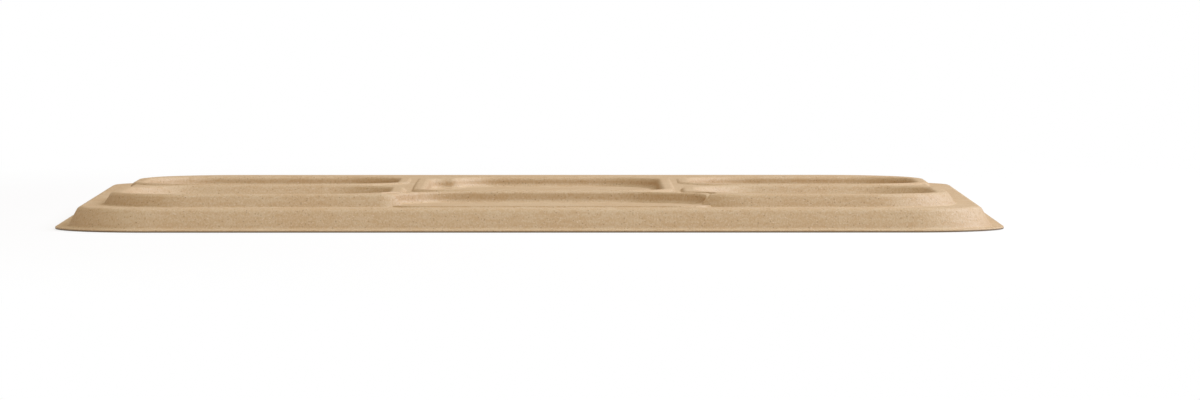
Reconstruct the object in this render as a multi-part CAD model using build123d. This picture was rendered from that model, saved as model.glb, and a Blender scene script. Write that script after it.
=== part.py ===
"""Lid of a compartment meal tray, moulded in one piece from sugarcane fibre.

Millimetres, +Z up, -Y is the front. The origin is the middle of the rim's underside.
The lid is one sheet of even thickness: an outer form minus the same form set in by the wall.
"""
from build123d import *

import os
from math import cos, radians, tan

# Overall size and sheet
LENGTH = 280.0
DEPTH = 222.0
HEIGHT = 10.6
WALL = 0.8

# Rim, skirt and ledge
RIM_CORNER = 28.0
RIM_EDGE_ROUND = 0.3
FLANGE_WIDTH = 3.7
SKIRT_DRAFT = 28.0
SKIRT_FOOT_ROUND = 1.2
LEDGE_ROUND = 2.2

# Raised block: level ground, and rings on it whose crests fall towards the back
BLOCK_RISE = 3.8
BLOCK_FRONT_MARGIN = 16.5
BLOCK_SIDE_MARGIN = 16.0
BLOCK_BACK_MARGIN = 17.0
BLOCK_CORNER = 30.0
BLOCK_DRAFT = 32.0
BLOCK_ROUND = 1.8
BLOCK_FOOT_ROUND = 0.7
GROUND_DROP = 1.1
GROUND_FRONT_MARGIN = 42.0
GROUND_INSET = 1.6
RING_FALL = 1.0

# Rings and the sunken panels inside them: two columns and two rows around the centre panel.
# The mouth corners of the front rings and of their panels are those beside the scoop.
CENTRE_WIDTH = 78.0
CENTRE_SHIFT = 4.0
COLUMN_GAP = 3.0
ROW_GAP = 10.0
FRONT_ROW_EXTRA = 5.5
BACK_ROW_INSET = 1.5
REAR_BAND = 17.0
RING_CORNER = 23.0
LEFT_MOUTH_CORNER = 6.0
RIGHT_MOUTH_CORNER = 18.0
LEFT_PANEL_MOUTH_CORNER = 28.0
RIGHT_PANEL_MOUTH_CORNER = 40.0
BEAD_WIDTH = 3.2
FRONT_PANEL_DRAFT = 40.0
BACK_PANEL_DRAFT = 12.0
LIP_ROUND = 1.5
FLOOR_ROUND = 1.4

# Centre panel, whose far left corner is stepped
CENTRE_FRONT_MARGIN = 51.0
CENTRE_BACK_GAP = 5.0
CENTRE_CORNER = 17.0
CENTRE_DRAFT = 12.0
CENTRE_FLOOR_CORNER = 12.0
CENTRE_FAR_CORNER = 20.0
CENTRE_STEP = 8.5
CENTRE_STEP_DEPTH = 17.0
CENTRE_STEP_CORNER = 4.5
CENTRE_STEP_ROUND = 2.5

# Scoop in the middle of the front wall, and the bead around its mouth
SCOOP_FRONT_MARGIN = 17.0
SCOOP_RIDGE = 5.5
SCOOP_LEFT_INSET = 7.2
SCOOP_RIGHT_INSET = 11.7
SCOOP_DRAFT = 14.0
SCOOP_LEFT_FLARE = 24.0
SCOOP_RIGHT_FLARE = 44.0
SCOOP_MOUTH_CORNER = 10.0
SCOOP_BACK_CORNER = 16.0
SCOOP_RAMP = 18.0
SCOOP_FLOOR_RISE = 0.25
SCOOP_BEAD = 5.4
SCOOP_SHELF = 1.2
SCOOP_SHELF_DRAFT = 35.0
SCOOP_LIP_ROUND = 1.0
SCOOP_LIP_RISE = 0.5
SCOOP_BACK_RISE = 3.4

# How far solids reach into their neighbours, so that they join or cut cleanly
OVERLAP = 1.0
# How near to a height a face counts as lying at it
LEVEL = 0.05

# Heights and lines that the rings share, worked out from the sizes above
LEDGE_HEIGHT = HEIGHT - BLOCK_RISE
GROUND_HEIGHT = HEIGHT - GROUND_DROP
LEFT = BLOCK_SIDE_MARGIN - LENGTH / 2
RIGHT = LENGTH / 2 - BLOCK_SIDE_MARGIN
FRONT = BLOCK_FRONT_MARGIN - DEPTH / 2
BACK = DEPTH / 2 - BLOCK_BACK_MARGIN
BACK_ROW_BACK = BACK - REAR_BAND
BACK_ROW_DEPTH = (BACK_ROW_BACK - FRONT - ROW_GAP - FRONT_ROW_EXTRA) / 2
BACK_ROW_FRONT = BACK_ROW_BACK - BACK_ROW_DEPTH
FRONT_ROW_BACK = BACK_ROW_FRONT - ROW_GAP
CENTRE_LEFT = CENTRE_SHIFT - CENTRE_WIDTH / 2
CENTRE_RIGHT = CENTRE_SHIFT + CENTRE_WIDTH / 2
CENTRE_FRONT = CENTRE_FRONT_MARGIN - DEPTH / 2
CENTRE_BACK = BACK_ROW_BACK - CENTRE_BACK_GAP
LEFT_COLUMN_EDGE = CENTRE_LEFT - COLUMN_GAP
RIGHT_COLUMN_EDGE = CENTRE_RIGHT + COLUMN_GAP
CREST_SLOPE = RING_FALL / (BACK - FRONT)


def set_in(draft, wall):
    """Distance between a drafted sheet's two faces, each taken at its own top or floor edge."""
    return wall * (1 / cos(radians(draft)) - tan(radians(draft)))


def rounded_box(left, right, front, back, corner):
    """Rounded rectangle between four lines."""
    return Pos((left + right) / 2, (front + back) / 2) * RectangleRounded(right - left, back - front, corner)


def rounded_at(outline, points, radius):
    """The outline with its corners at some points rounded."""
    return fillet([outline.vertices().sort_by_distance(point)[0] for point in points], radius)


def panel_run(draft):
    """Distance in plan from a ring's outer edge to the floor of the panel inside it."""
    return BEAD_WIDTH + BLOCK_RISE * tan(radians(draft))


def drafted_up(outline, foot, top, draft):
    """Solid whose walls lean in as they rise; the outline is that of its top."""
    base = offset(outline, (top - foot) * tan(radians(draft)))
    return extrude(Pos(0, 0, foot) * base, top - foot, taper=draft)


def drafted_down(outline, floor, top, draft):
    """Solid whose walls open out as they rise; the outline is that of its floor."""
    return mirror(drafted_up(outline, 2 * floor - top, floor, draft), about=Plane.XY.offset(floor))


def rounded_top(solid, radius):
    """The solid with the edge of its highest face rounded."""
    return fillet(solid.faces().sort_by(Axis.Z)[-1].edges(), radius)


def frame_face(solid, height):
    """The level face at a height that runs as a frame around a hole."""
    level = solid.faces().filter_by(Axis.Z).filter_by_position(Axis.Z, height - LEVEL, height + LEVEL)
    return level.filter_by(lambda face: len(face.inner_wires()) > 0)[0]


def rounded_hole(solid, height, radius):
    """The solid with the inner edge of its frame face at a height rounded."""
    return fillet(frame_face(solid, height).inner_wires()[0].edges(), radius)


def front_ring(left, right, mouth, mouth_corner):
    """Outline of a front ring, with a corner of its own beside the mouth of the scoop."""
    corners = [(left, FRONT), (right, FRONT), (right, FRONT_ROW_BACK), (left, FRONT_ROW_BACK)]
    outline = make_face(Polyline(*corners, close=True))
    outline = rounded_at(outline, [corner for corner in corners if corner != (mouth, FRONT)], RING_CORNER)
    return rounded_at(outline, [(mouth, FRONT)], mouth_corner)


RIM_OUTLINE = RectangleRounded(LENGTH, DEPTH, RIM_CORNER)
SKIRT_INSET = FLANGE_WIDTH + (LEDGE_HEIGHT - WALL) * tan(radians(SKIRT_DRAFT))
LEDGE_OUTLINE = offset(RIM_OUTLINE, -SKIRT_INSET)
GROUND_OUTLINE = rounded_box(LEFT + GROUND_INSET, RIGHT - GROUND_INSET,
                             GROUND_FRONT_MARGIN - DEPTH / 2, BACK, BLOCK_CORNER)
FRONT_RINGS = [
    front_ring(LEFT, LEFT_COLUMN_EDGE, LEFT_COLUMN_EDGE, LEFT_MOUTH_CORNER),
    front_ring(RIGHT_COLUMN_EDGE, RIGHT, RIGHT_COLUMN_EDGE, RIGHT_MOUTH_CORNER),
]
FRONT_PANEL_RINGS = [
    front_ring(LEFT, LEFT_COLUMN_EDGE, LEFT_COLUMN_EDGE, LEFT_PANEL_MOUTH_CORNER),
    front_ring(RIGHT_COLUMN_EDGE, RIGHT, RIGHT_COLUMN_EDGE, RIGHT_PANEL_MOUTH_CORNER),
]
BACK_RINGS = [
    rounded_box(left, right, BACK_ROW_FRONT, BACK_ROW_BACK, RING_CORNER)
    for left, right in [(LEFT + BACK_ROW_INSET, LEFT_COLUMN_EDGE), (RIGHT_COLUMN_EDGE, RIGHT - BACK_ROW_INSET)]
]
CENTRE_RING = rounded_box(CENTRE_LEFT, CENTRE_RIGHT, CENTRE_FRONT, CENTRE_BACK, CENTRE_CORNER)


def centre_panel():
    """Floor of the centre panel: round at the front and far right, stepped in at the far left."""
    run = panel_run(CENTRE_DRAFT)
    left, right = CENTRE_LEFT + run, CENTRE_RIGHT - run
    front, back = CENTRE_FRONT + run, CENTRE_BACK - run
    step_x, step_y = left + CENTRE_STEP, back - CENTRE_STEP_DEPTH
    corners = [(left, front), (right, front), (right, back), (step_x, back), (step_x, step_y), (left, step_y)]
    outline = make_face(Polyline(*corners, close=True))
    outline = rounded_at(outline, [corners[0], corners[1], corners[3]], CENTRE_FLOOR_CORNER)
    outline = rounded_at(outline, [corners[2]], CENTRE_FAR_CORNER)
    outline = rounded_at(outline, [corners[4]], CENTRE_STEP_ROUND)
    return rounded_at(outline, [corners[5]], CENTRE_STEP_CORNER)


def scoop_floor():
    """Floor of the scoop, wider at its mouth than at its back."""
    front = SCOOP_FRONT_MARGIN - DEPTH / 2
    back = CENTRE_FRONT - SCOOP_RIDGE
    left, right = CENTRE_LEFT + SCOOP_LEFT_INSET, CENTRE_RIGHT - SCOOP_RIGHT_INSET
    corners = [(left - SCOOP_LEFT_FLARE, front), (right + SCOOP_RIGHT_FLARE, front), (right, back), (left, back)]
    outline = make_face(Polyline(*corners, close=True))
    outline = fillet(outline.vertices().sort_by(Axis.Y)[:2], SCOOP_MOUTH_CORNER)
    return fillet(outline.vertices().sort_by(Axis.Y)[-2:], SCOOP_BACK_CORNER)


def under_crests(wall):
    """Everything below the falling plane that the ring crests lie in."""
    plane = Plane(origin=(0, FRONT, HEIGHT - wall), x_dir=(1, 0, 0), z_dir=(0, CREST_SLOPE, 1))
    return extrude(plane * Rectangle(2 * LENGTH, 2 * DEPTH), -2 * HEIGHT)


def under_scoop_ramp(wall):
    """Everything below the scoop's bead: level at the mouth, then an S-curve up to the back."""
    mouth = (SCOOP_FRONT_MARGIN - DEPTH / 2, LEDGE_HEIGHT + SCOOP_LIP_RISE - wall)
    ridge = (mouth[0] + SCOOP_RAMP, LEDGE_HEIGHT + SCOOP_BACK_RISE - wall)
    middle = ((mouth[0] + ridge[0]) / 2, (mouth[1] + ridge[1]) / 2)
    lower = TangentArc(mouth, middle, tangent=(1, 0))
    upper = TangentArc(middle, ridge, tangent=lower % 1)
    far, near = CENTRE_BACK, -DEPTH / 2
    rest = Polyline(ridge, (far, ridge[1]), (far, 0), (near, 0), (near, mouth[1]), mouth)
    side = make_face(lower + upper + rest)
    return extrude(Plane.YZ * side, LENGTH, both=True)


def over_scoop_shelf(wall):
    """The room above the scoop's lip, where the rings beside it are trimmed down to the ramp."""
    outline = offset(scoop_floor(), SCOOP_SHELF + set_in(SCOOP_SHELF_DRAFT, wall))
    room = drafted_down(outline, LEDGE_HEIGHT + SCOOP_FLOOR_RISE - wall, HEIGHT + OVERLAP, SCOOP_SHELF_DRAFT)
    return room - under_scoop_ramp(wall)


def sunken(outline, floor, draft, wall):
    """The hollow of a sunken panel, with the edge of its floor rounded."""
    hollow = drafted_down(offset(outline, set_in(draft, wall)), floor, HEIGHT + OVERLAP, draft)
    return fillet(hollow.faces().sort_by(Axis.Z)[0].edges(), FLOOR_ROUND + wall)


def form(wall, foot):
    """The lid's shape filled solid down to the foot, with every face set in by the wall."""
    ledge, ground, crest = LEDGE_HEIGHT - wall, GROUND_HEIGHT - wall, HEIGHT - wall
    root = ledge - OVERLAP
    inset = set_in(BLOCK_DRAFT, wall)

    skirt_outline = offset(LEDGE_OUTLINE, -set_in(SKIRT_DRAFT, wall))
    solid = rounded_top(drafted_up(skirt_outline, foot, ledge, SKIRT_DRAFT), LEDGE_ROUND - wall)
    ground_outline = offset(GROUND_OUTLINE, -inset)
    solid += rounded_top(drafted_up(ground_outline, root, ground, BLOCK_DRAFT), BLOCK_ROUND - wall)
    for ring in [*FRONT_RINGS, *BACK_RINGS, CENTRE_RING]:
        pad = drafted_up(offset(ring, -inset), root, crest, BLOCK_DRAFT) & under_crests(wall)
        solid += rounded_top(pad, BLOCK_ROUND - wall)
    solid -= over_scoop_shelf(wall)
    scoop_top = SCOOP_BEAD - BLOCK_RISE * tan(radians(BLOCK_DRAFT)) - inset
    scoop_pad = drafted_up(offset(scoop_floor(), scoop_top), root, crest, BLOCK_DRAFT)
    scoop_pad &= under_scoop_ramp(wall)
    hollow = sunken(scoop_floor(), ledge + SCOOP_FLOOR_RISE, SCOOP_DRAFT, wall)
    solid += scoop_pad
    scooped = solid - hollow
    lip = new_edges(solid, hollow, combined=scooped)
    solid = fillet(lip, SCOOP_LIP_ROUND - wall)

    for rings, draft in [(FRONT_PANEL_RINGS, FRONT_PANEL_DRAFT), (BACK_RINGS, BACK_PANEL_DRAFT)]:
        for ring in rings:
            solid -= sunken(offset(ring, -panel_run(draft)), ledge, draft, wall)
    solid -= sunken(centre_panel(), ledge, CENTRE_DRAFT, wall)

    crests = solid.faces().filter_by(lambda face: face.center().Z > ground + LEVEL)
    lips = [edge for face in crests for wire in face.inner_wires() for edge in wire.edges()]
    solid = fillet(lips, LIP_ROUND - wall)
    return rounded_hole(solid, ledge, BLOCK_FOOT_ROUND)


# Flange with its cut edge rounded
flange = extrude(RIM_OUTLINE, WALL)
flange = fillet(flange.faces().filter_by(Axis.Z).edges(), RIM_EDGE_ROUND)

# The sheet, rounded on both faces where the skirt meets the flange
lid = flange + form(0, 0) - form(WALL, -OVERLAP)
lid = rounded_hole(lid, WALL, SKIRT_FOOT_ROUND)
lid = rounded_hole(lid, 0, SKIRT_FOOT_ROUND + WALL)

os.makedirs("parts", exist_ok=True)
export_step(lid, "parts/lid_shell.step")
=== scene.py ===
"""Looks of a meal tray lid pressed from sugarcane fibre, on a white table under soft light."""

from math import atan2, hypot, radians

import bpy
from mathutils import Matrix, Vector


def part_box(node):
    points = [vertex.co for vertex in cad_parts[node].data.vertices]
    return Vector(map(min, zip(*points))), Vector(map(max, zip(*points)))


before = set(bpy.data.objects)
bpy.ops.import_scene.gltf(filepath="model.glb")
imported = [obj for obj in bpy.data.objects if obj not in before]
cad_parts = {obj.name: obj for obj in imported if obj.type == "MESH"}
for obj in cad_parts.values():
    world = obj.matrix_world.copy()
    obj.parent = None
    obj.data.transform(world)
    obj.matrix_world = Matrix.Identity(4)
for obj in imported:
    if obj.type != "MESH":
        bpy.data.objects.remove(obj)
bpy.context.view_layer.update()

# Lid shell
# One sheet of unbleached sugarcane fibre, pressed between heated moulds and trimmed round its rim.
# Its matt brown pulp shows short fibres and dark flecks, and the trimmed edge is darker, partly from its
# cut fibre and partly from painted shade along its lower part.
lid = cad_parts["lid_shell"]
lid_low, lid_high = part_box("lid_shell")

pressed_fibre = bpy.data.materials.new("pressed_fibre")
pressed_fibre.use_nodes = True
fibre_tree = pressed_fibre.node_tree
fibre_shader = fibre_tree.nodes["Principled BSDF"]
place = fibre_tree.nodes.new("ShaderNodeTexCoord").outputs["Object"]


def mapped(vector, change, amounts):
    """Coordinates turned by an angle about each axis (Rotation) or multiplied along it (Scale)."""
    mapping = vector.id_data.nodes.new("ShaderNodeMapping")
    mapping.inputs[change].default_value = amounts
    vector.id_data.links.new(vector, mapping.inputs["Vector"])
    return mapping.outputs["Vector"]


def noise(vector, detail):
    """Noise values over a set of coordinates, with about one swell to each unit."""
    texture = vector.id_data.nodes.new("ShaderNodeTexNoise")
    texture.inputs["Scale"].default_value = 1.0
    texture.inputs["Detail"].default_value = detail
    vector.id_data.links.new(vector, texture.inputs["Vector"])
    return texture.outputs["Fac"]


def ramp(value, low, high, low_out=0.0, high_out=1.0):
    """A value taken smoothly from one range to another, and held at its ends."""
    spread = value.id_data.nodes.new("ShaderNodeMapRange")
    spread.interpolation_type = "SMOOTHSTEP"
    spread.inputs["From Min"].default_value = low
    spread.inputs["From Max"].default_value = high
    spread.inputs["To Min"].default_value = low_out
    spread.inputs["To Max"].default_value = high_out
    value.id_data.links.new(value, spread.inputs["Value"])
    return spread.outputs["Result"]


def calculate(operation, first, second=0.0):
    """One sum on a socket's value and a second value, which is a socket or a plain number."""
    node = first.id_data.nodes.new("ShaderNodeMath")
    node.operation = operation
    first.id_data.links.new(first, node.inputs[0])
    if isinstance(second, float):
        node.inputs[1].default_value = second
    else:
        first.id_data.links.new(second, node.inputs[1])
    return node.outputs["Value"]


def blend(mask, under, over):
    """One colour laid over another where a mask is 1; each colour is a socket or a plain value."""
    mix = mask.id_data.nodes.new("ShaderNodeMix")
    mix.data_type = "RGBA"
    mask.id_data.links.new(mask, mix.inputs["Factor"])
    for socket, colour in zip((mix.inputs["A"], mix.inputs["B"]), (under, over)):
        if isinstance(colour, tuple):
            socket.default_value = colour
        else:
            mask.id_data.links.new(colour, socket)
    return mix.outputs["Result"]


# Cloudy pulp: broad patches, drifts of fibre that lie along the walls, and a fine grain.
# A pattern's repeats are its swells per metre along X, Y and Z.
pulp_dark = (0.533, 0.366, 0.207, 1.0)
pulp_light = (0.600, 0.458, 0.297, 1.0)
pulp_contrast = (0.37, 0.63)
patch_repeats = (45.0, 45.0, 45.0)
patch_detail = 3.0
patch_share = 0.25
drift_repeats = (300.0, 300.0, 1100.0)
drift_detail = 2.0
drift_share = 0.27
grain_repeats = (2200.0, 2200.0, 1100.0)
grain_detail = 2.0
grain_share = 0.48
patch = noise(mapped(place, "Scale", patch_repeats), patch_detail)
drift = noise(mapped(place, "Scale", drift_repeats), drift_detail)
grain = noise(mapped(place, "Scale", grain_repeats), grain_detail)
pulp = calculate("MULTIPLY", patch, patch_share)
pulp = calculate("ADD", pulp, calculate("MULTIPLY", drift, drift_share))
pulp = calculate("ADD", pulp, calculate("MULTIPLY", grain, grain_share))
colour = blend(ramp(pulp, *pulp_contrast), pulp_dark, pulp_light)

# Short fibres that lie in several directions, some paler and some darker than the pulp
fibre_light = (0.690, 0.545, 0.385, 1.0)
fibre_dark = (0.420, 0.270, 0.135, 1.0)
fibre_repeats = (260.0, 2300.0, 2300.0)
fibre_detail = 1.0
fibre_contrast = (0.66, 0.76)
fibre_strength = 0.7
fibre_lays = (((10, 5, 20), fibre_light), ((-8, 4, 75), fibre_dark), ((6, -5, 130), fibre_light))
relief_height = grain
for lay, tone in fibre_lays:
    turned = mapped(place, "Rotation", [radians(angle) for angle in lay])
    streak = noise(mapped(turned, "Scale", fibre_repeats), fibre_detail)
    fibre = ramp(streak, *fibre_contrast, 0.0, fibre_strength)
    colour = blend(fibre, colour, tone)
    relief_height = calculate("ADD", relief_height, fibre)

# Fine dark flecks of cane skin, each in the middle of a small cell, and in some of the cells only
fleck_brown = (0.240, 0.135, 0.060, 1.0)
fleck_repeats = 1150.0
fleck_core = 0.14
fleck_end = 0.34
fleck_strength = 0.5
fleck_choice = (0.55, 0.90)
cells = fibre_tree.nodes.new("ShaderNodeTexVoronoi")
cells.inputs["Scale"].default_value = fleck_repeats
fibre_tree.links.new(place, cells.inputs["Vector"])
lot = fibre_tree.nodes.new("ShaderNodeSeparateColor")
fibre_tree.links.new(cells.outputs["Color"], lot.inputs["Color"])
chosen = ramp(lot.outputs["Red"], *fleck_choice)
fleck = ramp(cells.outputs["Distance"], fleck_core, fleck_end, fleck_strength, 0.0)
colour = blend(calculate("MULTIPLY", fleck, chosen), colour, fleck_brown)

# Trimmed edge, found by its distance from the rim's rounded outline and darkened low down: partly darker
# cut fibre, partly painted contact shade where the rim meets the table
edge_and_contact_shade_brown = (0.150, 0.096, 0.052, 1.0)
cut_edge_width = 0.0002
contact_shade_height = 0.0005
rim_corner = 0.028
axes = fibre_tree.nodes.new("ShaderNodeSeparateXYZ")
fibre_tree.links.new(place, axes.inputs["Vector"])
squares = []
for axis, rim_reach in (("X", lid_high.x), ("Y", lid_high.y)):
    past_straight = calculate("SUBTRACT", calculate("ABSOLUTE", axes.outputs[axis]), rim_reach - rim_corner)
    squares.append(calculate("POWER", calculate("MAXIMUM", past_straight, 0.0), 2.0))
from_corner = calculate("SQRT", calculate("ADD", *squares))
from_edge = calculate("SUBTRACT", from_corner, rim_corner)
outer = ramp(from_edge, -2 * cut_edge_width, -cut_edge_width / 2)
# Painted shade: only the lowest part of the trimmed edge, next to the table, is darkened
low = ramp(axes.outputs["Z"], contact_shade_height / 2, contact_shade_height, 1.0, 0.0)
colour = blend(calculate("MULTIPLY", outer, low), colour, edge_and_contact_shade_brown)
fibre_tree.links.new(colour, fibre_shader.inputs["Base Color"])

# Matt finish, a little smoother where the pulp is pale, and a low relief of grain and fibres
gloss = 0.4
finish_contrast = (0.3, 0.7)
dark_roughness = 0.66
pale_roughness = 0.54
relief_strength = 0.5
relief_depth = 0.00012
fibre_shader.inputs["Specular IOR Level"].default_value = gloss
roughness = ramp(pulp, *finish_contrast, dark_roughness, pale_roughness)
fibre_tree.links.new(roughness, fibre_shader.inputs["Roughness"])
relief = fibre_tree.nodes.new("ShaderNodeBump")
relief.inputs["Strength"].default_value = relief_strength
relief.inputs["Distance"].default_value = relief_depth
fibre_tree.links.new(relief_height, relief.inputs["Height"])
fibre_tree.links.new(relief.outputs["Normal"], fibre_shader.inputs["Normal"])

lid.data.materials.clear()
lid.data.materials.append(pressed_fibre)

# Table
# A plain white table top that runs far back, so that it fills the picture behind the lid.
# It shows the lid's shadow close by, and is seen as pure white farther out.
table_size = 40.0
table_gap = 0.0001
table_white = (0.88, 0.88, 0.88, 1.0)
shadow_reach = 0.16
white_reach = 0.50
nearby_white = 0.72
bpy.ops.object.select_all(action="DESELECT")
bpy.ops.mesh.primitive_plane_add(size=table_size, location=(0, 0, lid_low.z - table_gap))
table = bpy.context.object
table.name = "table"

white_top = bpy.data.materials.new("white_top")
white_top.use_nodes = True
top_tree = white_top.node_tree
top_tree.nodes.remove(top_tree.nodes["Principled BSDF"])
paint = top_tree.nodes.new("ShaderNodeBsdfDiffuse")
paint.inputs["Color"].default_value = table_white
glow = top_tree.nodes.new("ShaderNodeEmission")
ray = top_tree.nodes.new("ShaderNodeLightPath")
seen = calculate("MAXIMUM", ray.outputs["Is Camera Ray"], ray.outputs["Is Glossy Ray"])
seen = calculate("MAXIMUM", seen, ray.outputs["Is Transmission Ray"])
away = top_tree.nodes.new("ShaderNodeVectorMath")
away.operation = "LENGTH"
top_tree.links.new(top_tree.nodes.new("ShaderNodeTexCoord").outputs["Object"], away.inputs[0])
white_share = ramp(away.outputs["Value"], shadow_reach, white_reach, nearby_white, 1.0)
surface = top_tree.nodes.new("ShaderNodeMixShader")
top_tree.links.new(calculate("MULTIPLY", seen, white_share), surface.inputs["Fac"])
top_tree.links.new(paint.outputs["BSDF"], surface.inputs[1])
top_tree.links.new(glow.outputs["Emission"], surface.inputs[2])
top_tree.links.new(surface.outputs["Shader"], top_tree.nodes["Material Output"].inputs["Surface"])
table.data.materials.append(white_top)

# Light
# Weak warm light comes from all round, as from the walls of a room.
# A broad soft lamp hangs above and in front of the lid, and a smaller one stands on the right.
room_colour = (1.0, 0.74, 0.46, 1.0)
room_strength = 0.38
room = bpy.data.worlds.new("room")
bpy.context.scene.world = room
room.use_nodes = True
sky = room.node_tree.nodes["Background"]
sky.inputs["Color"].default_value = room_colour
sky.inputs["Strength"].default_value = room_strength


def soft_lamp(name, spot, size, power, tint):
    """A round lamp at a spot in the room, turned to face the middle of the lid."""
    lamp_data = bpy.data.lights.new(name, "AREA")
    lamp_data.shape = "DISK"
    lamp_data.size = size
    lamp_data.energy = power
    lamp_data.color = tint
    lamp = bpy.data.objects.new(name, lamp_data)
    bpy.context.scene.collection.objects.link(lamp)
    x, y, z = spot
    lamp.location = spot
    lamp.rotation_euler = (atan2(hypot(x, y), z), 0, atan2(y, x) + radians(90))


soft_lamp("upper_lamp", spot=(0.40, -0.60, 1.55), size=2.0, power=22.0, tint=(0.835, 0.94, 1.0))
soft_lamp("right_lamp", spot=(1.35, 0.40, 1.10), size=0.9, power=23.6, tint=(0.765, 0.82, 1.0))

# Camera
# A long lens stands low in front of the lid, as in the photograph.
# It is turned down a little, and very slightly to the right.
camera_spot = (0.0072, -2.259, 0.09407)
camera_dip = 2.2543
camera_turn = 0.357
lens_length = 221.3
sensor_width = 36.0
sight_end = 100.0
camera_data = bpy.data.cameras.new("camera")
camera_data.sensor_width = sensor_width
camera_data.lens = lens_length
camera_data.clip_end = sight_end
camera = bpy.data.objects.new("camera", camera_data)
bpy.context.scene.collection.objects.link(camera)
camera.location = camera_spot
camera.rotation_euler = (radians(90 - camera_dip), 0, radians(-camera_turn))
bpy.context.scene.camera = camera
bpy.context.scene.view_settings.view_transform = "Standard"
